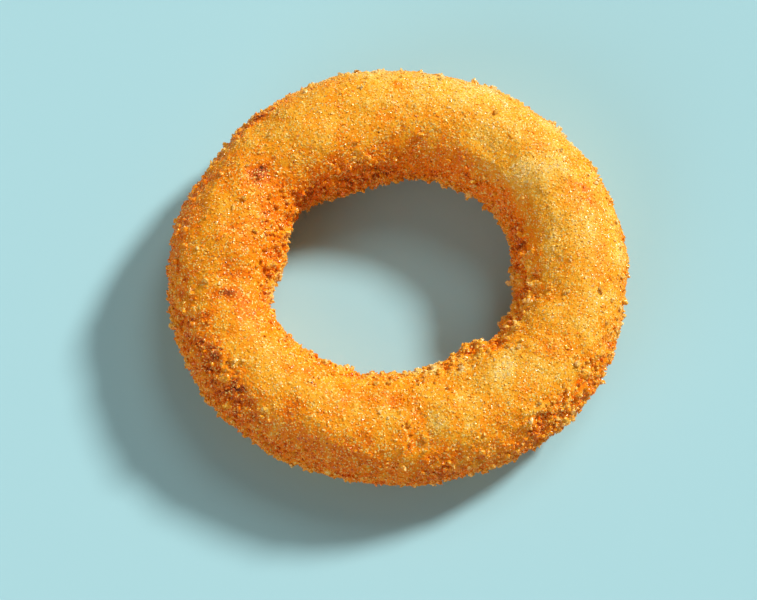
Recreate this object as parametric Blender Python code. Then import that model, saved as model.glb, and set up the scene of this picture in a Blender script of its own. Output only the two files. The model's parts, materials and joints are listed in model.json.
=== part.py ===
"""A breaded onion ring, as one solid.

The onion, its batter and its crumb coating are fried into one piece, so the ring is one body: an
uneven round band that runs round an oval hole. The band starts as a torus. Each of its points is
then moved by a few rules: the oval that the band follows, the places where the band swells or
narrows, the lumps of the coating, and the flat spot on which the ring rests.

Metres, +Z up. The origin is on the resting surface, under the middle of the ring. +X runs along
the ring's longer side.
"""

import math

import bpy
from mathutils import Matrix, Vector, noise

MM = 0.001

# The oval that runs through the middle of the band, and how far its long side is turned from +X.
OVAL_HALF_LENGTH = 27.3 * MM
OVAL_HALF_DEPTH = 24.4 * MM
OVAL_TURN = math.radians(7)

# The band's cross-section: half of its width, half of its height, and how square it is.
# A power of 1 gives an ellipse, and less gives fuller shoulders.
BAND_HALF_WIDTH = 8.4 * MM
BAND_HALF_HEIGHT = 8.3 * MM
SHOULDER_POWER = 0.93

# The ring is a little taller on one side. The direction is an angle round the ring from +X.
TALLER_SIDE = math.radians(100)
TALLER_BY = 0.6 * MM

# How much of the round underside is lost to the flat spot that the ring rests on.
FLATTENED = 0.5 * MM

# Points round the ring and round the band.
RING_STEPS = 120
BAND_STEPS = 36

# Where the band leaves the plain oval: angle round the ring, half of the stretch's angle,
# shift outwards, and change of half the width.
SWELLINGS = [
    (310, 40, 0.0 * MM, 0.6 * MM),
    (320, 7, 0.3 * MM, -0.3 * MM),
    (343, 12, 0.3 * MM, -0.2 * MM),
    (40, 18, 0.4 * MM, -0.1 * MM),
    (5, 12, -0.2 * MM, 0.3 * MM),
    (107, 16, -0.2 * MM, 0.6 * MM),
    (140, 12, 0.2 * MM, -0.4 * MM),
    (173, 13, -0.4 * MM, 0.5 * MM),
    (204, 20, 0.6 * MM, -0.6 * MM),
    (240, 18, 0.1 * MM, -0.2 * MM),
]

# Knobs of caught crumb (height above 0) and dents and creases (height below 0). Each has an angle
# round the ring, an angle round the band (0 outside, 90 on top, 180 inside), half its length
# along the ring, half its length across, and its height.
KNOBS_AND_DENTS = [
    (309, 168, 1.6 * MM, 1.8 * MM, 0.8 * MM),
    (319, 172, 1.4 * MM, 2.0 * MM, -0.4 * MM),
    (331, 165, 2.4 * MM, 1.8 * MM, 0.4 * MM),
    (110, 188, 2.6 * MM, 1.6 * MM, 0.5 * MM),
    (145, 172, 3.0 * MM, 1.8 * MM, 0.4 * MM),
    (56, 108, 3.4 * MM, 1.2 * MM, -0.6 * MM),
    (61, 92, 3.0 * MM, 1.2 * MM, -0.4 * MM),
    (270, 104, 1.8 * MM, 1.6 * MM, -0.7 * MM),
    (277, 76, 1.4 * MM, 2.4 * MM, -0.7 * MM),
    (285, 88, 2.4 * MM, 2.2 * MM, 0.4 * MM),
    (186, 100, 2.6 * MM, 1.8 * MM, -0.5 * MM),
    (240, 100, 4.2 * MM, 2.4 * MM, 0.4 * MM),
    (132, 60, 2.6 * MM, 1.8 * MM, -0.5 * MM),
    (12, 110, 1.6 * MM, 4.0 * MM, -0.4 * MM),
]

# The lumps of the coating: how far apart they are, and how high.
LUMP_SIZES = [(9.0 * MM, 0.45 * MM), (4.2 * MM, 0.30 * MM)]

# The golden brown of the fried crumb, linear.
CRUST_COLOUR = (0.76, 0.36, 0.065, 1.0)
CRUST_ROUGHNESS = 0.6


def clear_scene():
    for obj in list(bpy.data.objects):
        bpy.data.objects.remove(obj, do_unlink=True)


def hump(distance, half_length):
    """A smooth hill, 1 in the middle and 0 from half_length outwards."""
    share = min(abs(distance) / half_length, 1.0)
    return (1.0 - share * share) ** 2


def turn_between(angle, other):
    """How far one angle is from another, the short way round, in radians."""
    return (angle - other + math.pi) % (2 * math.pi) - math.pi


def band_at(ring_angle):
    """The middle of the band, its outward direction, and half its width and height there."""
    along = ring_angle - OVAL_TURN
    middle = Vector((OVAL_HALF_LENGTH * math.cos(along), OVAL_HALF_DEPTH * math.sin(along), 0))
    outward = Vector((OVAL_HALF_DEPTH * math.cos(along), OVAL_HALF_LENGTH * math.sin(along), 0))
    outward.normalize()
    half_width = BAND_HALF_WIDTH
    half_height = BAND_HALF_HEIGHT + TALLER_BY * math.cos(ring_angle - TALLER_SIDE)
    for angle, spread, shift, widening in SWELLINGS:
        # A hill twice as wide as its half-height stretch joins the band without a step.
        share = hump(turn_between(ring_angle, math.radians(angle)), math.radians(2 * spread))
        middle += outward * (shift * share)
        half_width += widening * share
        half_height += 0.5 * widening * share
    turn = Matrix.Rotation(OVAL_TURN, 3, "Z")
    return turn @ middle, turn @ outward, half_width, half_height


def rounded(value):
    """A sine or cosine, pushed out towards the shoulders of the cross-section."""
    return math.copysign(abs(value) ** SHOULDER_POWER, value)


def knobs_and_dents(ring_angle, band_angle, half_width):
    """How far the surface stands out or in at this place, for the coating's knobs and dents."""
    ring_radius = (OVAL_HALF_LENGTH + OVAL_HALF_DEPTH) / 2 + half_width * math.cos(band_angle)
    height = 0.0
    for angle, round_band, half_along, half_across, peak in KNOBS_AND_DENTS:
        along = turn_between(ring_angle, math.radians(angle)) * ring_radius
        across = turn_between(band_angle, math.radians(round_band)) * half_width
        distance = math.hypot(along / half_along, across / half_across)
        height += peak * hump(distance, 2.0)
    return height


def lumps(place):
    """The coating's uneven thickness: smooth lumps in two sizes."""
    return sum(height * noise.noise(place / spacing) for spacing, height in LUMP_SIZES)


def coated_point(ring_angle, band_angle):
    """The place on the coating at these two angles, before the ring is set down."""
    middle, outward, half_width, half_height = band_at(ring_angle)
    upward = Vector((0, 0, 1))
    place = middle + upward * (half_height - FLATTENED)
    place += outward * (half_width * rounded(math.cos(band_angle)))
    place += upward * (half_height * rounded(math.sin(band_angle)))
    away = outward * math.cos(band_angle) + upward * math.sin(band_angle)
    relief = knobs_and_dents(ring_angle, band_angle, half_width) + lumps(place)
    return place + away * relief


def set_down(points):
    """The points with the underside flat at Z = 0 and the ring's middle over the origin."""
    flat = [Vector((p.x, p.y, max(p.z, 0.0))) for p in points]
    middle_x = (min(p.x for p in flat) + max(p.x for p in flat)) / 2
    middle_y = (min(p.y for p in flat) + max(p.y for p in flat)) / 2
    return [Vector((p.x - middle_x, p.y - middle_y, p.z)) for p in flat]


def make_onion_ring():
    torus_radius = OVAL_HALF_LENGTH
    bpy.ops.mesh.primitive_torus_add(
        major_segments=RING_STEPS,
        minor_segments=BAND_STEPS,
        major_radius=torus_radius,
        minor_radius=BAND_HALF_WIDTH,
    )
    ring = bpy.context.object
    ring.name = "onion_ring"
    ring.data.name = "onion_ring"
    points = []
    for vertex in ring.data.vertices:
        x, y, z = vertex.co
        ring_angle = math.atan2(y, x)
        band_angle = math.atan2(z, math.hypot(x, y) - torus_radius)
        points.append(coated_point(ring_angle, band_angle))
    for vertex, point in zip(ring.data.vertices, set_down(points)):
        vertex.co = point
    ring.data.update()
    ring.data.shade_smooth()
    return ring


def crust_material():
    material = bpy.data.materials.new("fried_crumb_coating")
    material.use_nodes = True
    surface = material.node_tree.nodes["Principled BSDF"]
    surface.inputs["Base Color"].default_value = CRUST_COLOUR
    surface.inputs["Roughness"].default_value = CRUST_ROUGHNESS
    surface.inputs["Metallic"].default_value = 0.0
    return material


def main():
    clear_scene()
    parts = bpy.data.collections.new("onion ring")
    bpy.context.scene.collection.children.link(parts)
    ring = make_onion_ring()
    ring.data.materials.append(crust_material())
    for collection in list(ring.users_collection):
        collection.objects.unlink(ring)
    parts.objects.link(ring)


main()
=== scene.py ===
# %% [markdown]
# # A breaded onion ring
#
# This lesson dresses one onion ring for a picture. The solid ring is already built, and it is
# loaded here as a fixed frame. What it lacks is what the eye sees first: a coating of fine fried
# breadcrumb, golden where it is thin and brown where the oil was hottest.
#
# We give the ring a finer skin, lay browner and paler patches over it, and then set tens of
# thousands of real little crumbs on that skin. Everything is in metres, with +Z up.

# %% Load the frame
import json
import math

import bpy
import numpy as np
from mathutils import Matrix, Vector, noise
from mathutils.bvhtree import BVHTree

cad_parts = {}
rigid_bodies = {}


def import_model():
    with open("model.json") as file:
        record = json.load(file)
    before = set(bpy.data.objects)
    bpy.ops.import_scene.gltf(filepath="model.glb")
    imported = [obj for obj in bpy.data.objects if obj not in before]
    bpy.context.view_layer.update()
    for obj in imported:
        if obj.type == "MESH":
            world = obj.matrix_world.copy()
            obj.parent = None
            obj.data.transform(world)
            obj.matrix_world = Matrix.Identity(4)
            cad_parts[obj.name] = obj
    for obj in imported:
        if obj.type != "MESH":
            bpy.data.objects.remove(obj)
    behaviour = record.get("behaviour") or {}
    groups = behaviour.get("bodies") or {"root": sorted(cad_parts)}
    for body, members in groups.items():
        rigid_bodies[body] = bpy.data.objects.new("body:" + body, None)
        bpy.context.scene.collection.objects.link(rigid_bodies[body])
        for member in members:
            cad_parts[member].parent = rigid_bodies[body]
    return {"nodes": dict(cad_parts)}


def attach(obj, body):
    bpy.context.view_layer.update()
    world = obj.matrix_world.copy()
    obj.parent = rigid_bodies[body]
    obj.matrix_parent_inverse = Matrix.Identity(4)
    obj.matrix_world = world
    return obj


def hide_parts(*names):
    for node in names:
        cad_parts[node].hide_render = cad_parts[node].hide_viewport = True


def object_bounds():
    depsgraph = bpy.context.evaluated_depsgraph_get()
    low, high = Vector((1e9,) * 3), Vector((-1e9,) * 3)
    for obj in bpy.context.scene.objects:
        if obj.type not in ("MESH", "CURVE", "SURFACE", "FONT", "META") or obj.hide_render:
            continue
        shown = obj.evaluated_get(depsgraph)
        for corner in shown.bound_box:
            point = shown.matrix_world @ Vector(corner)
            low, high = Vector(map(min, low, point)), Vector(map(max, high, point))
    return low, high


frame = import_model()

MM = 0.001
CAD_LOW, CAD_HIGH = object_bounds()
cad_ring = frame["nodes"]["onion_ring"]
print("ring size in mm:", [round(side / MM, 1) for side in CAD_HIGH - CAD_LOW])

# %% [markdown]
# ## Two helpers
#
# Colours are written the way a painter picks them, as hex values on a screen. The renderer counts
# light instead, so one function turns a hex value into linear numbers.
#
# Materials and Geometry Nodes are both trees of nodes. One function adds a node, sets its options,
# and either sets or links each of its inputs. Reading a tree is then like reading a recipe.


# %% Colours and nodes
def linear(hex_colour):
    """A screen colour such as "#E8A33D" as linear red, green, blue and alpha."""
    channels = [int(hex_colour[i:i + 2], 16) / 255 for i in (1, 3, 5)]
    return [c / 12.92 if c <= 0.04045 else ((c + 0.055) / 1.055) ** 2.4 for c in channels] + [1.0]


def add_node(tree, kind, inputs=None, **settings):
    """Adds a node. An input is either a value or another node's output to link from."""
    node = tree.nodes.new(kind)
    for name, value in settings.items():
        setattr(node, name, value)
    for name, value in (inputs or {}).items():
        if isinstance(value, bpy.types.NodeSocket):
            tree.links.new(value, node.inputs[name])
        else:
            node.inputs[name].default_value = value
    return node


# %% [markdown]
# ## The camera
#
# Food this flat is usually shot from nearly overhead with a long lens, so that the ring keeps its
# outline and the hole stays open. The camera stands on the ring's -Y side and looks down steeply.
# It aims a little beside the ring, which leaves room in the picture for the long shadow.

# %% Camera
CAMERA_ELEVATION = math.radians(75)
CAMERA_DISTANCE = 400.5 * MM
CAMERA_LENS_MM = 120
CAMERA_TARGET = Vector((-2.95 * MM, -1.8 * MM, 0))

camera_data = bpy.data.cameras.new("camera")
camera_data.lens = CAMERA_LENS_MM
camera_data.sensor_width = 36
camera_data.clip_start = 0.01
camera = bpy.data.objects.new("camera", camera_data)
bpy.context.scene.collection.objects.link(camera)
away = Vector((0, -math.cos(CAMERA_ELEVATION), math.sin(CAMERA_ELEVATION)))
camera.location = CAMERA_TARGET + away * CAMERA_DISTANCE
camera.rotation_euler = (math.pi / 2 - CAMERA_ELEVATION, 0, 0)
bpy.context.scene.camera = camera
print("camera height in mm:", round(camera.location.z / MM))

# %% [markdown]
# ## Light and floor
#
# A tall soft box stands on the far right. Sun lamps with a wide angle are the simplest way to make
# one: the angle sets how soft the shadow's edge is. Two are used, a strong low one for the box's
# middle and a weak high one for its top. A wide, low lamp opposite them does what a white card
# does, and opens up the shaded side. Plain light comes from all round. Together they add up to
# about one on a level surface, so a colour there renders as it is written.
#
# The floor is pale teal to the camera. Its bounce is a warm grey instead, by Light Path's Is Camera
# Ray, because teal light from below would turn the crust's golden underside olive.

# %% Lamps, world and floor
# Each lamp: its direction round the scene from +X, its height and its width in degrees, and its
# share of the light on a level surface.
LAMPS = {
    "soft_box_middle": (38, 34, 10, 0.62),
    "soft_box_top": (62, 52, 22, 0.13),
    "white_card": (228, 20, 50, 0.11),
}
WORLD_SHARE = 0.14
FLOOR_COLOUR = "#AFDCE1"
BOUNCE_COLOUR = "#C4BAAC"


def add_lamp(name, direction, height, width, share):
    """A sun lamp whose light on a level surface is the given share."""
    direction = math.radians(direction)
    height = math.radians(height)
    towards_lamp = Vector((
        math.cos(direction) * math.cos(height),
        math.sin(direction) * math.cos(height),
        math.sin(height),
    ))
    data = bpy.data.lights.new(name, "SUN")
    data.angle = math.radians(width)
    data.energy = share * math.pi / math.sin(height)
    lamp = bpy.data.objects.new(name, data)
    lamp.rotation_euler = towards_lamp.to_track_quat("Z", "Y").to_euler()
    bpy.context.scene.collection.objects.link(lamp)
    print(name, "strength:", round(data.energy, 2))


for name, settings in LAMPS.items():
    add_lamp(name, *settings)

world = bpy.data.worlds.new("plain_light")
world.use_nodes = True
sky = world.node_tree.nodes["Background"]
sky.inputs["Color"].default_value = (1.0, 1.0, 1.0, 1.0)
sky.inputs["Strength"].default_value = WORLD_SHARE
bpy.context.scene.world = world
bpy.context.scene.view_settings.view_transform = "Standard"

bpy.ops.object.select_all(action="DESELECT")
bpy.ops.mesh.primitive_plane_add(size=4.0)
floor = bpy.context.object
floor.name = "floor"
paint = bpy.data.materials.new("matt_painted_board")
paint.use_nodes = True
board = paint.node_tree.nodes["Principled BSDF"]
to_camera = add_node(paint.node_tree, "ShaderNodeLightPath").outputs["Is Camera Ray"]
colour = add_node(
    paint.node_tree,
    "ShaderNodeMix",
    {"Factor": to_camera, "A": linear(BOUNCE_COLOUR), "B": linear(FLOOR_COLOUR)},
    data_type="RGBA",
)
paint.node_tree.links.new(colour.outputs["Result"], board.inputs["Base Color"])
board.inputs["Roughness"].default_value = 0.9
board.inputs["Specular IOR Level"].default_value = 0.0
floor.data.materials.append(paint)

# %% [markdown]
# ## The skin
#
# Under the loose crumbs lies a crust of batter and packed crumb, and it has its own lumps. The
# solid ring is too coarse to carry them, so we copy its mesh, weld the copy's loose triangles,
# join them back into squares and let Subdivision Surface cut each square into sixteen. The
# squares are then about a third of a millimetre wide, which is finer than a crumb.

# %% A finer copy of the ring
WELD = 0.00001


def only(piece):
    """Deselects everything and makes this one piece active."""
    bpy.ops.object.select_all(action="DESELECT")
    piece.select_set(True)
    bpy.context.view_layer.objects.active = piece


skin = bpy.data.objects.new("crust_skin", cad_ring.data.copy())
bpy.context.scene.collection.objects.link(skin)
skin.data.materials.clear()
only(skin)
bpy.ops.mesh.customdata_custom_splitnormals_clear()
bpy.ops.object.mode_set(mode="EDIT")
bpy.ops.mesh.select_all(action="SELECT")
bpy.ops.mesh.remove_doubles(threshold=WELD)
bpy.ops.mesh.tris_convert_to_quads(face_threshold=math.radians(60), shape_threshold=math.radians(60))
bpy.ops.mesh.normals_make_consistent(inside=False)
bpy.ops.object.mode_set(mode="OBJECT")
finer = skin.modifiers.new("finer", "SUBSURF")
finer.levels = 2
finer.render_levels = 2
bpy.ops.object.modifier_apply(modifier=finer.name)
print("skin:", len(skin.data.vertices), "points,", len(skin.data.polygons), "faces")

# %% [markdown]
# ## Finding one's way on a ring
#
# A patch of browner crust is easiest to place with two angles: one round the ring, and one round
# the band's cross-section. These functions turn points into those angles, and add up a list of
# soft oval patches.

# %% Angles on the ring
BAND_HALF = 8.55 * MM
OVAL_HALF_LENGTH = (CAD_HIGH.x - CAD_LOW.x) / 2 - BAND_HALF
OVAL_HALF_DEPTH = (CAD_HIGH.y - CAD_LOW.y) / 2 - BAND_HALF
BAND_MIDDLE_HEIGHT = 7.9 * MM


def ring_angles(points):
    """Degrees round the ring from +X, and degrees round the band: 0 outside, 90 on top, 180 inside."""
    x, y, z = points.T
    round_ring = np.arctan2(y, x)
    a, b = OVAL_HALF_LENGTH, OVAL_HALF_DEPTH
    oval = a * b / np.hypot(b * np.cos(round_ring), a * np.sin(round_ring))
    round_band = np.arctan2(z - BAND_MIDDLE_HEIGHT, np.hypot(x, y) - oval)
    return np.degrees(round_ring), np.degrees(round_band)


def degrees_between(angles, angle):
    return (angles - angle + 180) % 360 - 180


def add_patches(patches, points):
    """The strength at each point of a list of soft oval patches."""
    round_ring, round_band = ring_angles(points)
    radius = np.hypot(points[:, 0], points[:, 1])
    total = np.zeros(len(points))
    for at_ring, at_band, half_along, half_across, strength in patches:
        along = np.radians(degrees_between(round_ring, at_ring)) * radius / (half_along * MM)
        across = np.radians(degrees_between(round_band, at_band)) * BAND_HALF / (half_across * MM)
        total += strength * np.exp(-(along ** 2 + across ** 2))
    return total


def uneven(points, spacing, seed=0):
    """Smooth random values from about -1 to 1 that change over the given spacing."""
    offset = Vector((seed, 7.3 * seed, 3.1 * seed))
    return np.array([noise.noise(Vector(p) / spacing + offset) for p in points])


def mesh_points(mesh):
    points = np.empty(len(mesh.vertices) * 3)
    mesh.vertices.foreach_get("co", points)
    return points.reshape(-1, 3)


# %% [markdown]
# ## Where the ring is brown, and where it is pale
#
# Frying isn't even. A few ridges touch the hottest oil and go red-brown, some spots go amber and
# some stay a pale yellow. Besides these, the low outer sides and the inner walls, which face away
# from the lamps, are painted a deep amber as painted shade, and the lit outer edge and the inner
# shoulder are painted paler as painted light. Each patch below is: degrees round the ring, degrees
# round the band, half its length and half its width in millimetres, and its strength. A little
# smooth noise then breaks up the ovals, so that none looks drawn.

# %% Browning, painted shade and painted light
TOASTED_PATCHES = [
    (131, 40, 3.2, 1.2, 0.34),
    (138, 30, 2.0, 1.0, 0.26),
    (146, 95, 1.6, 1.3, 0.24),
    (128, 64, 1.2, 1.0, 0.18),
    (157, 38, 5.0, 1.8, 0.13),
    (174, 44, 2.6, 1.4, 0.15),
    (184, 47, 2.4, 1.5, 0.18),
    (190, 96, 1.2, 1.4, 0.26),
    (195, 60, 1.5, 1.4, 0.15),
    (197, 38, 2.4, 1.8, 0.17),
    (208, 52, 3.6, 2.6, 0.18),
    (219, 36, 3.8, 2.4, 0.18),
    (90, 64, 1.8, 0.8, 0.20),
    (22, 58, 1.8, 1.0, 0.16),
    (9, 158, 3.2, 2.0, 0.14),
    (350, 156, 3.0, 2.0, 0.12),
    (318, 36, 2.8, 1.6, 0.15),
    (311, 30, 2.2, 1.6, 0.12),
    (279, 5, 2.4, 1.8, 0.12),
    (120, 165, 6.0, 2.4, 0.10),
]
# Real amber spots, and painted shade: a deep amber on the low outer sides from 150 to 330 degrees and on
# the inner walls, which face away from the lamps.
AMBER_AND_SHADE_PATCHES = [
    (215, 14, 18.0, 5.0, 0.28),
    (270, 8, 18.0, 5.0, 0.28),
    (165, 10, 12.0, 5.0, 0.22),
    (320, 5, 14.0, 4.0, 0.18),
    (75, 155, 18.0, 5.0, 0.28),
    (20, 162, 10.0, 5.0, 0.26),
    (125, 155, 14.0, 5.0, 0.28),
    (240, 42, 22.0, 5.0, 0.08),
    (152, 95, 6.0, 6.0, 0.20),
    (270, 112, 2.4, 1.8, 0.20),
    (65, 126, 3.0, 2.2, 0.14),
    (185, 90, 9.0, 7.0, 0.10),
    (190, 150, 14.0, 7.0, 0.10),
    (235, 130, 14.0, 7.0, 0.08),
    (22, 72, 3.0, 2.4, 0.16),
    (113, 78, 2.4, 1.8, 0.14),
    (90, 79, 2.4, 1.8, 0.12),
    (170, 45, 3.0, 2.4, 0.10),
    (197, 112, 1.8, 2.0, 0.24),
    (234, 115, 2.4, 2.0, 0.16),
    (236, 76, 2.4, 2.4, 0.18),
    (255, 58, 7.0, 3.5, 0.12),
    (277, 80, 1.4, 2.8, 0.28),
    (320, 144, 2.0, 2.0, 0.22),
    (329, 93, 1.6, 2.4, 0.18),
    (300, 77, 2.6, 2.4, 0.12),
]
# Real pale spots, and painted light: paler crust along the lit outer edge from about 20 to 110 degrees
# and on the inner shoulder near 30 degrees.
PALE_AND_PAINTED_LIGHT_PATCHES = [
    (72, 62, 7.0, 3.0, 0.18),
    (60, 24, 24.0, 5.0, 0.15),
    (100, 26, 8.0, 4.0, 0.10),
    (30, 106, 8.0, 3.5, 0.12),
    (221, 88, 4.5, 3.0, 0.15),
    (238, 98, 4.5, 2.6, 0.12),
    (265, 100, 2.4, 1.4, 0.22),
    (283, 81, 2.4, 2.2, 0.16),
    (110, 134, 1.4, 1.2, 0.25),
    (8, 109, 4.0, 3.0, 0.18),
    (37, 105, 3.0, 2.6, 0.18),
    (50, 124, 2.6, 1.8, 0.14),
    (59, 103, 3.0, 1.8, 0.18),
    (5, 38, 3.0, 2.6, 0.16),
    (163, 88, 2.6, 2.6, 0.12),
    (313, 109, 2.6, 2.4, 0.22),
    (322, 70, 2.4, 2.6, 0.14),
    (343, 103, 3.6, 3.0, 0.14),
    (300, 95, 4.0, 3.0, 0.08),
    (100, 84, 8.0, 3.0, 0.08),
]
TOAST_LEVEL = 0.35
FULL_AMBER_AND_SHADE = 0.28
PALEST_GOLD = 0.14
DEEPEST_AMBER = 0.62
BLOTCH_SIZE = 4.5 * MM
BLOTCH_STRENGTH = 0.20
MOTTLE_SIZE = 1.6 * MM
MOTTLE_STRENGTH = 0.14
RAGGEDNESS = 0.9
MOST_CALMED = 0.7


def toast_and_painted_shade_at(points):
    """How toasted the crust is at each point, with painted shade and painted light laid in, from 0, pale,
    to 1, dark brown.
    """
    blotches = uneven(points, BLOTCH_SIZE, seed=1)
    mottle = uneven(points, MOTTLE_SIZE, seed=2)
    ragged = 1.0 + RAGGEDNESS * mottle
    # The amber patches hold real amber spots and painted shade on the shaded sides and inner walls, and
    # the blotches are calmed under them.
    amber_and_shade = add_patches(AMBER_AND_SHADE_PATCHES, points)
    calm = 1.0 - np.clip(amber_and_shade / FULL_AMBER_AND_SHADE, 0.0, MOST_CALMED)
    toast_and_shade = TOAST_LEVEL + (BLOTCH_STRENGTH * blotches + MOTTLE_STRENGTH * mottle) * calm
    toast_and_shade += amber_and_shade * ragged
    # The pale patches hold real pale spots and painted light on the lit outer edge and the inner
    # shoulder.
    toast_and_shade -= add_patches(PALE_AND_PAINTED_LIGHT_PATCHES, points) * ragged
    toast_and_shade = np.clip(toast_and_shade, PALEST_GOLD, DEEPEST_AMBER)
    toast_and_shade += add_patches(TOASTED_PATCHES, points) * ragged
    return np.clip(toast_and_shade, 0.0, 1.0)


def store(mesh, name, values):
    """Keeps one number for each point of the mesh, under a name that nodes can read."""
    mesh.attributes.new(name, "FLOAT", "POINT")
    mesh.attributes[name].data.foreach_set("value", np.asarray(values, dtype=np.float32))


toast_and_shade = toast_and_painted_shade_at(mesh_points(skin.data))
print("toast, least, middle and most:", np.percentile(toast_and_shade, (0, 50, 100)).round(2))

# %% [markdown]
# ## Lumps in the crust
#
# The crust's relief is real geometry, because it shows on the outline. Displace modifiers push the
# points along their normals: soft lumps a few millimetres wide, clumps of crumb, and single
# grains, for which a Voronoi pattern gives round cells. Where the batter was thick, low on the
# outside and along the inner edge, crumbs caught in clusters: a vertex group holds the last two
# modifiers to those patches. The underside is then pressed flat again, since the ring rests on it.
#
# The toast value is lowered where the relief is raised and raised where it is lowered, so hollows
# are painted a deeper orange as painted shade and lumps a paler gold as painted light.

# %% Relief
ROUGH_PATCHES = [
    (150, 182, 9.0, 5.0, 1.00),
    (186, 178, 6.0, 5.0, 0.80),
    (122, 188, 4.0, 4.0, 0.80),
    (100, 190, 3.0, 4.0, 0.60),
    (72, 192, 8.0, 4.0, 0.60),
    (38, 188, 7.0, 4.0, 0.60),
    (12, 182, 5.0, 4.0, 0.70),
    (352, 172, 6.0, 4.0, 0.90),
    (325, 167, 8.0, 4.0, 0.90),
    (290, 165, 9.0, 3.5, 0.60),
    (240, 166, 11.0, 3.5, 0.50),
    (150, 8, 9.0, 4.0, 0.30),
    (180, 3, 9.0, 4.0, 0.45),
    (210, -2, 12.0, 4.5, 0.60),
    (240, -8, 9.0, 4.0, 0.50),
    (279, -10, 2.5, 3.5, 1.00),
    (300, -8, 9.0, 4.0, 0.50),
    (320, 0, 7.0, 4.0, 0.50),
    (25, 5, 10.0, 4.0, 0.25),
    (208, 45, 5.0, 3.5, 0.70),
    (219, 36, 5.0, 3.0, 0.70),
    (195, 33, 6.0, 3.0, 0.45),
    (315, 33, 5.0, 3.0, 0.70),
    (332, 28, 5.0, 3.0, 0.45),
    (135, 36, 4.0, 2.0, 0.40),
    (147, 100, 4.0, 3.0, 0.30),
    (350, 150, 4.0, 2.5, 0.60),
    (110, 134, 1.5, 1.5, 0.70),
    (105, 145, 1.5, 1.5, 0.70),
    (51, 148, 2.0, 1.5, 0.60),
    (265, 101, 2.2, 1.2, 0.40),
    (274, 68, 3.2, 1.4, 0.40),
]
FLANK_ROUGHNESS = 0.30

# Where the crumb coat is thicker or thinner than the solid ring: as a patch, with its height in
# millimetres for a strength.
COAT_PATCHES = [
    (0, 90, 200.0, 40.0, -0.18),
    (125, 178, 7.0, 6.0, -0.50),
    (145, 178, 5.0, 6.0, -0.35),
    (188, 178, 4.0, 6.0, -0.30),
    (337, 172, 4.0, 5.0, -0.75),
    (66, 188, 7.0, 6.0, -0.55),
    (90, 185, 4.0, 6.0, -0.25),
    (265, 178, 6.0, 6.0, -0.25),
    (247, -2, 7.0, 6.0, -0.30),
    (285, -2, 8.0, 6.0, -0.20),
    (128, 5, 6.0, 6.0, 0.45),
    (183, 0, 7.0, 6.0, -0.45),
    (32, 8, 12.0, 6.0, -0.25),
    (97, 12, 5.0, 6.0, -0.25),
    (325, -5, 8.0, 6.0, 0.55),
]
PAINTED_SHADE_PER_DEPTH = 0.30 / MM
RELIEF = [
    ("lumps", "CLOUDS", 3.4 * MM, 0.60 * MM, False),
    ("clumps", "CLOUDS", 1.3 * MM, 0.20 * MM, False),
    ("grains", "VORONOI", 0.8 * MM, -0.12 * MM, False),
    ("clusters", "CLOUDS", 1.6 * MM, 2.40 * MM, True),
    ("knots", "VORONOI", 1.2 * MM, -0.50 * MM, True),
]


def roughness_at(points):
    """How thickly clusters of crumb have caught at each point, from 0 to 1."""
    flank = np.cos(np.radians(ring_angles(points)[1])) ** 4
    return np.clip(add_patches(ROUGH_PATCHES, points) + FLANK_ROUGHNESS * flank, 0.0, 1.0)


only(skin)
smooth_normals = np.array([vertex.normal for vertex in skin.data.vertices])
smooth_points = mesh_points(skin.data)
smooth_points += smooth_normals * (add_patches(COAT_PATCHES, smooth_points) * MM)[:, None]
skin.data.vertices.foreach_set("co", smooth_points.ravel())
ROUGH = "rough"
rough_group = skin.vertex_groups.new(name=ROUGH)
for point, weight in enumerate(roughness_at(mesh_points(skin.data))):
    rough_group.add([point], weight, "REPLACE")
for name, kind, spacing, height, in_clusters in RELIEF:
    pattern = bpy.data.textures.new(name, kind)
    pattern.noise_scale = spacing
    push = skin.modifiers.new(name, "DISPLACE")
    push.texture = pattern
    push.texture_coords = "LOCAL"
    push.strength = height
    if in_clusters:
        push.vertex_group = ROUGH
    bpy.ops.object.modifier_apply(modifier=push.name)
skin.vertex_groups.remove(skin.vertex_groups[ROUGH])

points = mesh_points(skin.data)
raised = np.sum((points - smooth_points) * smooth_normals, axis=1)
raised -= raised.mean()
# Hollows are painted deeper orange as painted shade, raised lumps paler as painted light.
store(skin.data, "tone", np.clip(toast_and_shade - PAINTED_SHADE_PER_DEPTH * raised, 0.0, 1.0))
points[:, 2] = np.maximum(points[:, 2], 0.0)
skin.data.vertices.foreach_set("co", points.ravel())
skin.data.update()
skin.data.shade_smooth()
print("skin's top in mm:", round(points[:, 2].max() / MM, 2))
print("relief in mm, lowest and highest:", (np.percentile(raised, (0, 100)) / MM).round(2))

# %% [markdown]
# ## Fried breadcrumb
#
# Breadcrumb is dry baked flour. Fried, it soaks up oil and turns from straw to gold, amber and at
# last dark brown. So the base colour runs along those tones with the toast value, which also holds
# some painted shade and painted light. Looked at closely, each crumb is itself a cluster of grains,
# too fine to model one by one. A Voronoi pattern gives the grains: every cell has its own slight
# shift of tone, a few cells are painted pale yellow as glints, which is a painted highlight, and the
# bump gives each a facet that can catch the light.

# %% Materials
TONES = [
    (0.00, "#FFDC92"),
    (0.12, "#FFCC58"),
    (0.24, "#FFB82E"),
    (0.38, "#FFA41A"),
    (0.52, "#FF920C"),
    (0.66, "#FB7C06"),
    (0.80, "#C85A0A"),
    (1.00, "#70300C"),
]
MOTTLE_GRAIN = 0.5 * MM
MOTTLE_RANGE = 0.22
GRAIN_WIDTH = 0.20 * MM
GRAIN_RANGE = 0.20
GRAIN_BUMP = 0.035 * MM
PAINTED_GLINT_SHARE = 0.09
PAINTED_GLINT_COLOUR = "#FFE07C"
FRIED_CRUMB_IOR = 1.47


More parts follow.
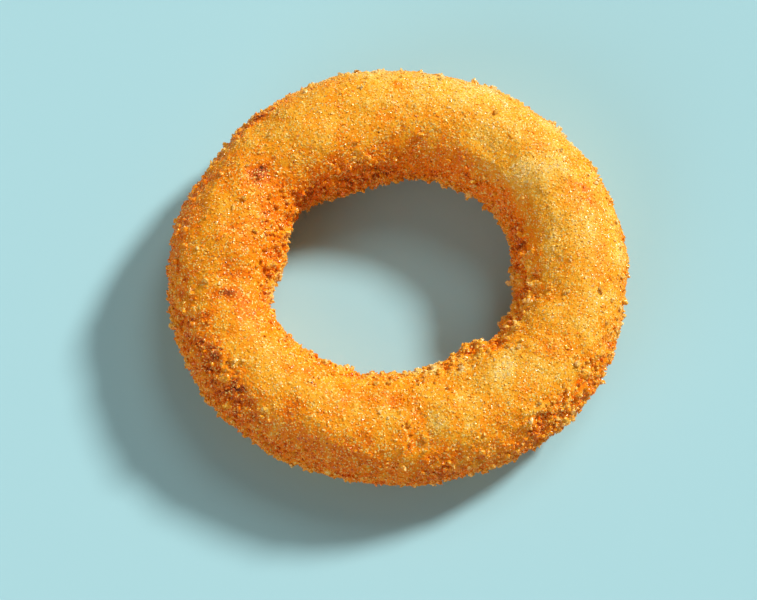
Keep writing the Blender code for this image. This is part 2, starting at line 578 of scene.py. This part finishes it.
def tone_colours(tree, tone):
    """A colour ramp along the tones of frying."""
    ramp = add_node(tree, "ShaderNodeValToRGB", {"Fac": tone})
    stops = ramp.color_ramp.elements
    for (place_on_ramp, colour), stop in zip(TONES[::len(TONES) - 1], stops):
        stop.position = place_on_ramp
        stop.color = linear(colour)
    for place_on_ramp, colour in TONES[1:-1]:
        stops.new(place_on_ramp).color = linear(colour)
    return ramp.outputs["Color"]


def shifted(tree, tone, pattern, reach):
    """The tone, raised or lowered by up to half the reach where the pattern is high or low."""
    shift = add_node(
        tree, "ShaderNodeMath", {0: pattern, 1: reach, 2: -reach / 2}, operation="MULTIPLY_ADD")
    return add_node(tree, "ShaderNodeMath", {0: tone, 1: shift.outputs[0]}, operation="ADD").outputs[0]


def fried_crumb(name, roughness, gloss, mottled):
    """A fried breadcrumb material whose colour follows the mesh's own tone."""
    material = bpy.data.materials.new(name)
    material.use_nodes = True
    tree = material.node_tree
    crumb = tree.nodes["Principled BSDF"]
    place = add_node(tree, "ShaderNodeTexCoord").outputs["Object"]
    grains = add_node(tree, "ShaderNodeTexVoronoi", {"Vector": place, "Scale": 1 / GRAIN_WIDTH})
    chance = add_node(tree, "ShaderNodeSeparateColor", {"Color": grains.outputs["Color"]})
    tone = add_node(tree, "ShaderNodeAttribute", attribute_name="tone").outputs["Fac"]
    tone = shifted(tree, tone, chance.outputs["Green"], GRAIN_RANGE)
    if mottled:
        specks = add_node(tree, "ShaderNodeTexNoise", {"Vector": place, "Scale": 1 / MOTTLE_GRAIN})
        tone = shifted(tree, tone, specks.outputs[0], MOTTLE_RANGE)
    # Painted glints: a few grain cells are painted pale yellow.
    glint = add_node(
        tree, "ShaderNodeMath", {0: chance.outputs["Red"], 1: 1 - PAINTED_GLINT_SHARE}, operation="GREATER_THAN")
    colour = add_node(
        tree,
        "ShaderNodeMix",
        {"Factor": glint.outputs[0], "A": tone_colours(tree, tone), "B": linear(PAINTED_GLINT_COLOUR)},
        data_type="RGBA",
    )
    facets = add_node(
        tree,
        "ShaderNodeBump",
        {"Height": grains.outputs["Distance"], "Strength": 1.0, "Distance": GRAIN_BUMP},
        invert=True,
    )
    tree.links.new(colour.outputs["Result"], crumb.inputs["Base Color"])
    tree.links.new(facets.outputs["Normal"], crumb.inputs["Normal"])
    crumb.inputs["Roughness"].default_value = roughness
    crumb.inputs["IOR"].default_value = FRIED_CRUMB_IOR
    crumb.inputs["Specular IOR Level"].default_value = gloss
    return material


packed_crumb = fried_crumb("fried_batter_and_packed_crumb", roughness=0.5, gloss=0.15, mottled=True)
loose_crumb = fried_crumb("fried_breadcrumb", roughness=0.16, gloss=0.45, mottled=False)
skin.data.materials.append(packed_crumb)

# %% [markdown]
# ## Crumbs to copy
#
# A crumb is a broken bit, with a few flat faces and corners. Four shapes of each kind are enough,
# since each copy is turned and sized differently. An ico sphere is shaken out of true and squashed,
# and Decimate then takes some of its faces away. A fine crumb keeps about ten faces, which is all
# the eye can resolve at half a millimetre. A coarse crumb keeps about thirty.

# %% Crumb shapes
SQUASH = [(1.0, 0.8, 0.7), (1.25, 0.85, 0.8), (0.9, 1.0, 0.65), (1.1, 0.7, 0.9)]


def crumb_shapes(name, subdivisions, shake, kept_faces):
    """A collection of broken lumps one unit across, for the crumb trees to copy."""
    shapes = bpy.data.collections.new(name)
    bpy.context.scene.collection.children.link(shapes)
    for number, squash in enumerate(SQUASH):
        bpy.ops.object.select_all(action="DESELECT")
        bpy.ops.mesh.primitive_ico_sphere_add(subdivisions=subdivisions, radius=0.5)
        shape = bpy.context.object
        shape.name = f"{name}_{number}"
        bpy.ops.object.mode_set(mode="EDIT")
        bpy.ops.mesh.select_all(action="SELECT")
        bpy.ops.transform.vertex_random(offset=shake, seed=number + 3)
        bpy.ops.transform.resize(value=squash)
        bpy.ops.mesh.normals_make_consistent(inside=False)
        bpy.ops.object.mode_set(mode="OBJECT")
        thinner = shape.modifiers.new("thinner", "DECIMATE")
        thinner.ratio = kept_faces
        bpy.ops.object.modifier_apply(modifier=thinner.name)
        for home in list(shape.users_collection):
            home.objects.unlink(shape)
        shapes.objects.link(shape)
    return shapes


fine_shapes = crumb_shapes("fine_crumb", subdivisions=1, shake=0.17, kept_faces=0.5)
coarse_shapes = crumb_shapes("coarse_crumb", subdivisions=2, shake=0.22, kept_faces=0.4)

# %% [markdown]
# ## A seat for each crumb
#
# Geometry Nodes can scatter points on a surface so that no two are closer than a set distance,
# which is how crumbs pack. We keep the points as a mesh of loose vertices, so that each seat's
# size, turn and tone can be worked out before anything grows on it.

# %% Scatter the seats
GEOMETRY = "NodeSocketGeometry"


def geometry_tree(name):
    """An empty Geometry Nodes tree, and the socket that its geometry comes in by."""
    tree = bpy.data.node_groups.new(name, "GeometryNodeTree")
    tree.interface.new_socket("Geometry", in_out="INPUT", socket_type=GEOMETRY)
    tree.interface.new_socket("Geometry", in_out="OUTPUT", socket_type=GEOMETRY)
    return tree, add_node(tree, "NodeGroupInput").outputs[0]


def apply_tree(piece, tree):
    modifier = piece.modifiers.new(tree.name, "NODES")
    modifier.node_group = tree
    only(piece)
    bpy.ops.object.modifier_apply(modifier=modifier.name)


def joined_copy(pieces, name):
    """One new piece that holds copies of the given pieces' meshes."""
    bpy.ops.object.select_all(action="DESELECT")
    copies = []
    for piece in pieces:
        copies.append(bpy.data.objects.new(name, piece.data.copy()))
        bpy.context.scene.collection.objects.link(copies[-1])
        copies[-1].select_set(True)
    bpy.context.view_layer.objects.active = copies[0]
    if len(copies) > 1:
        bpy.ops.object.join()
    return copies[0]


def scatter(name, pieces, spacing, seed):
    """Points on the pieces at least spacing apart, with the outward direction and tone at each."""
    tree, surface = geometry_tree(name)
    seats = add_node(
        tree,
        "GeometryNodeDistributePointsOnFaces",
        {"Mesh": surface, "Distance Min": spacing, "Density Max": 3 / spacing ** 2, "Seed": seed},
        distribute_method="POISSON",
    )
    kept = add_node(
        tree,
        "GeometryNodeStoreNamedAttribute",
        {"Geometry": seats.outputs["Points"], "Name": "outward", "Value": seats.outputs["Normal"]},
        data_type="FLOAT_VECTOR",
    )
    loose = add_node(tree, "GeometryNodePointsToVertices", {"Points": kept.outputs[0]})
    add_node(tree, "NodeGroupOutput", {0: loose.outputs[0]})
    piece = joined_copy(pieces, name)
    apply_tree(piece, tree)
    count = len(piece.data.vertices)
    outward = np.empty(count * 3)
    tone = np.empty(count)
    piece.data.attributes["outward"].data.foreach_get("vector", outward)
    piece.data.attributes["tone"].data.foreach_get("value", tone)
    points = mesh_points(piece.data)
    bpy.data.objects.remove(piece)
    print(name, "has", count, "seats")
    return points, outward.reshape(-1, 3), tone


# %% [markdown]
# ## Crumbs on their seats
#
# Each kind of crumb becomes one piece. Its seats carry a size, a turn, a tone and which shape to
# use, and a second tree puts a copy on each and realizes the copies, so that the result is plain
# mesh. A crumb that would reach below the surface the ring rests on is pressed flat there.

# %% Grow the crumbs
ANY_WAY = math.pi
SEAT_VALUES = {"size": "FLOAT_VECTOR", "outward": "FLOAT_VECTOR", "turn": "FLOAT_VECTOR", "shape": "INT"}

random = np.random.default_rng(11)


def grow_tree(crumb_shapes):
    """A tree that puts one of the collection's shapes on each seat and makes them plain mesh."""
    tree, seats = geometry_tree("grow_" + crumb_shapes.name)
    kept = {}
    for name, kind in SEAT_VALUES.items():
        value = add_node(tree, "GeometryNodeInputNamedAttribute", {"Name": name}, data_type=kind)
        kept[name] = value.outputs[0]
    upright = add_node(
        tree, "FunctionNodeAlignRotationToVector", {"Vector": kept["outward"]}, axis="Z")
    turn = add_node(tree, "FunctionNodeEulerToRotation", {0: kept["turn"]})
    rotation = add_node(
        tree,
        "FunctionNodeRotateRotation",
        {0: upright.outputs[0], 1: turn.outputs[0]},
        rotation_space="LOCAL",
    )
    shapes = add_node(
        tree,
        "GeometryNodeCollectionInfo",
        {"Collection": crumb_shapes, "Separate Children": True, "Reset Children": True},
    )
    copies = add_node(
        tree,
        "GeometryNodeInstanceOnPoints",
        {
            "Points": seats,
            "Instance": shapes.outputs[0],
            "Pick Instance": True,
            "Instance Index": kept["shape"],
            "Rotation": rotation.outputs[0],
            "Scale": kept["size"],
        },
    )
    realized = add_node(tree, "GeometryNodeRealizeInstances", {"Geometry": copies.outputs[0]})
    place = add_node(tree, "GeometryNodeInputPosition")
    lifted = add_node(
        tree, "ShaderNodeVectorMath", {0: place.outputs[0], 1: (-1.0, -1.0, 0.0)}, operation="MAXIMUM")
    pressed = add_node(
        tree, "GeometryNodeSetPosition", {"Geometry": realized.outputs[0], "Position": lifted.outputs[0]})
    add_node(tree, "NodeGroupOutput", {0: pressed.outputs[0]})
    return tree


GROW_FINE = grow_tree(fine_shapes)
GROW_COARSE = grow_tree(coarse_shapes)


def grow(name, tree, points, outward, sizes, tones, tilt=ANY_WAY, height=1.0):
    """One piece of crumbs on these points. Each leans from the outward direction by about the tilt,
    and is as high as the given share of its width."""
    count = len(points)
    mesh = bpy.data.meshes.new(name)
    mesh.from_pydata(points, [], [])
    values = {
        "size": sizes[:, None] * np.array([1.0, 1.0, height]),
        "outward": outward,
        "turn": random.normal(0, 1, (count, 3)) * np.array([tilt, tilt, ANY_WAY]),
        "shape": random.integers(0, len(SQUASH), count),
    }
    for key, kind in SEAT_VALUES.items():
        data = mesh.attributes.new(key, kind, "POINT").data
        data.foreach_set("value" if kind == "INT" else "vector", values[key].ravel())
    store(mesh, "tone", np.clip(tones, 0, 1))
    piece = bpy.data.objects.new(name, mesh)
    bpy.context.scene.collection.objects.link(piece)
    apply_tree(piece, tree)
    for key in SEAT_VALUES:
        if key in piece.data.attributes:
            piece.data.attributes.remove(piece.data.attributes[key])
    piece.data.materials.clear()
    piece.data.materials.append(loose_crumb)
    print(name, "has", count, "crumbs and", len(piece.data.polygons), "faces")
    return piece


# %% [markdown]
# ## The coarse crumbs
#
# Bigger bits caught in the same rough patches, and a few strays lie elsewhere. They make the
# outline ragged. Seats are scattered wide apart over the whole skin, and each is used by chance,
# likely in a rough patch and rarely outside one. These bits stand clear of the crust and dry out,
# so they are a little paler than what is beneath them.

# %% Coarse crumbs
COARSE_SPACING = 0.75 * MM
COARSE_SIZE = 0.72 * MM
COARSE_LEAST = 0.4 * MM
COARSE_MOST = 1.4 * MM
COARSE_PROUD = 0.05
SIZE_SPREAD = 0.25
STRAY_CHANCE = 0.01
DRIED_BY = 0.12
TONE_SPREAD = 0.08

points, outward, tone = scatter("coarse_seats", [skin], COARSE_SPACING, seed=8)
chance = STRAY_CHANCE + roughness_at(points)
kept = np.flatnonzero(random.random(len(points)) < chance)
sizes = COARSE_SIZE * np.exp(random.normal(0, SIZE_SPREAD, len(kept)))
sizes = np.clip(sizes, COARSE_LEAST, COARSE_MOST)
tones = tone[kept] - DRIED_BY + random.normal(0, TONE_SPREAD, len(kept))
centres = points[kept] + outward[kept] * (COARSE_PROUD * sizes)[:, None]
coarse = grow("coarse_crumbs", GROW_COARSE, centres, outward[kept], sizes, tones)
crumbs = [coarse]

# %% [markdown]
# ## The fine crumbs
#
# Most crumbs are a little under half a millimetre across. They cover the skin and the coarse crumbs
# alike, so those turn into rough clusters. Most sit well sunk in the crust, some stand proud, and
# each is a little browner or paler than what is beneath it. On top of that, the more sunk a crumb
# is, the deeper orange it is painted, as painted shade, and the prouder, the paler, as painted light.
# Seats on the hidden side of a coarse crumb are left out. The crumbs are dealt out to four pieces
# by tone, so that each piece is one kind: straw-coloured, golden, amber and toasted.

# %% Fine crumbs
FINE_SPACING = 0.31 * MM
CRUMB_SIZE = 0.45 * MM
CRUMB_LEAST = 0.2 * MM
CRUMB_MOST = 0.8 * MM
CRUMB_HEIGHT = 0.42
CRUMB_TILT = math.radians(14)
MOST_SUNK = -0.14
MOST_PROUD = 0.08
PAINTED_SHADE_BY_SINKING = 0.9
PALE_SHARE = 0.10
PALE_SHIFT = 0.22
BURNT_SHARE = 0.004
BURNT_SHIFT = 0.40
FINE_KINDS = ["straw_crumbs", "golden_crumbs", "amber_crumbs", "toasted_crumbs"]
SURFACE_SLACK = 0.03 * MM


def not_buried(points):
    """Which points are no further inside the skin than the slack."""
    surface = BVHTree.FromObject(skin, bpy.context.evaluated_depsgraph_get())
    kept = []
    for number, point in enumerate(points):
        nearest, normal, _, _ = surface.find_nearest(Vector(point))
        if (Vector(point) - nearest).dot(normal) > -SURFACE_SLACK:
            kept.append(number)
    return np.array(kept)


points, outward, tone = scatter("fine_seats", [skin, coarse], FINE_SPACING, seed=5)
seen = not_buried(points)
points, outward, tone = points[seen], outward[seen], tone[seen]
count = len(points)
sizes = CRUMB_SIZE * np.exp(random.normal(0, SIZE_SPREAD, count))
sizes = np.clip(sizes, CRUMB_LEAST, CRUMB_MOST)
tones = tone + random.normal(0, TONE_SPREAD, count)
tones -= PALE_SHIFT * (random.random(count) < PALE_SHARE)
tones += BURNT_SHIFT * (random.random(count) < BURNT_SHARE)
lift = random.uniform(MOST_SUNK, MOST_PROUD, count)
# Painted shade and light: sunk crumbs deeper orange, proud crumbs paler.
tones -= PAINTED_SHADE_BY_SINKING * (lift - (MOST_SUNK + MOST_PROUD) / 2)
centres = points + outward * (lift * sizes)[:, None]
order = np.argsort(tones)
for name, seats in zip(FINE_KINDS, np.array_split(order, len(FINE_KINDS))):
    crumbs.append(grow(
        name,
        GROW_FINE,
        centres[seats],
        outward[seats],
        sizes[seats],
        tones[seats],
        tilt=CRUMB_TILT,
        height=CRUMB_HEIGHT,
    ))

# %% [markdown]
# ## The dust
#
# The finest of the crumb is dust that stuck last. It lies on top of everything else, and its tiny
# oily faces are what sparkles. It is painted pale, nearly cream, as painted glints, so that a grain
# is one bright point to the eye. A grain is about as wide as thin card is thick, so it needs only the
# fewest faces.

# %% Crumb dust
DUST_SPACING = 0.55 * MM
DUST_SIZE = 0.17 * MM
DUST_LOWEST = 0.036 * MM
DUST_HIGHEST = 0.144 * MM
DUST_GLINT_TONE = 0.05
DUST_GLINT_TONE_SPREAD = 0.06

points, outward, tone = scatter("dust_seats", [skin, coarse], DUST_SPACING, seed=9)
seen = not_buried(points)
points, outward = points[seen], outward[seen]
count = len(points)
sizes = DUST_SIZE * np.exp(random.normal(0, SIZE_SPREAD, count))
# The dust's pale tone is painted glint.
tones = DUST_GLINT_TONE + np.abs(random.normal(0, DUST_GLINT_TONE_SPREAD, count))
centres = points + outward * random.uniform(DUST_LOWEST, DUST_HIGHEST, count)[:, None]
crumbs.append(grow("crumb_dust", GROW_FINE, centres, outward, sizes, tones))

# %% [markdown]
# ## Handing the pieces over
#
# The shapes that were copied have done their work. The skin stands for the solid ring, which is
# hidden, and every piece rides on the ring's one body.

# %% Ride and replace
for shapes in (fine_shapes, coarse_shapes):
    for shape in list(shapes.objects):
        bpy.data.objects.remove(shape)
    bpy.data.collections.remove(shapes)

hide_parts("onion_ring")
for piece in [skin] + crumbs:
    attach(piece, "root")
